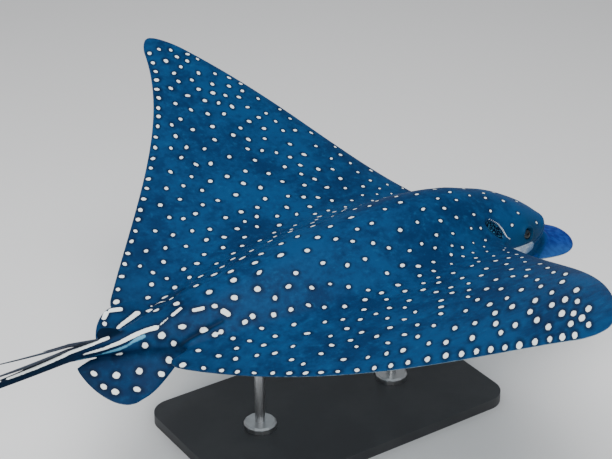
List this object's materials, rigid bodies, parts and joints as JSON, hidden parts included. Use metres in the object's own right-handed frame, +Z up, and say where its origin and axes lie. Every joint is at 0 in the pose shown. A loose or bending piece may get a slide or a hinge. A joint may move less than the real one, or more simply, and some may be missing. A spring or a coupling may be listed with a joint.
{
  "type": "spotted eagle ray",
  "caption": "Still life-size ray with raised pointed wings, domed head, flat snout lobe, pelvic fins and long whip tail, on a low two-rod display stand.",
  "frame": {"origin": "centre of the flat underside of the stand's base", "axes": "+X towards the snout, +Y to the animal's left, +Z up"},
  "size_m": [4.4887, 1.5906, 0.618],
  "materials": {
    "skin": "smooth wet skin, slate blue with white spots above and white below",
    "eye": "glossy black glass eye",
    "spine": "dark satin horn",
    "stand_base": "satin charcoal paint",
    "stand_rod": "brushed"
  },
  "bodies": {
    "root": {"head": "skin", "rostral_lobe": "skin", "eye_left": "eye", "eye_right": "eye", "trunk": "skin", "wing_left": "skin", "wing_right": "skin", "pelvic_fin_left": "skin", "pelvic_fin_right": "skin", "dorsal_fin": "skin", "tail_1": "skin", "tail_2": "skin", "tail_3": "skin", "tail_4": "skin", "tail_5": "skin", "stand_base": "stand_base", "stand_rod_front": "stand_rod", "stand_rod_rear": "stand_rod"}
  },
  "joints": []
}
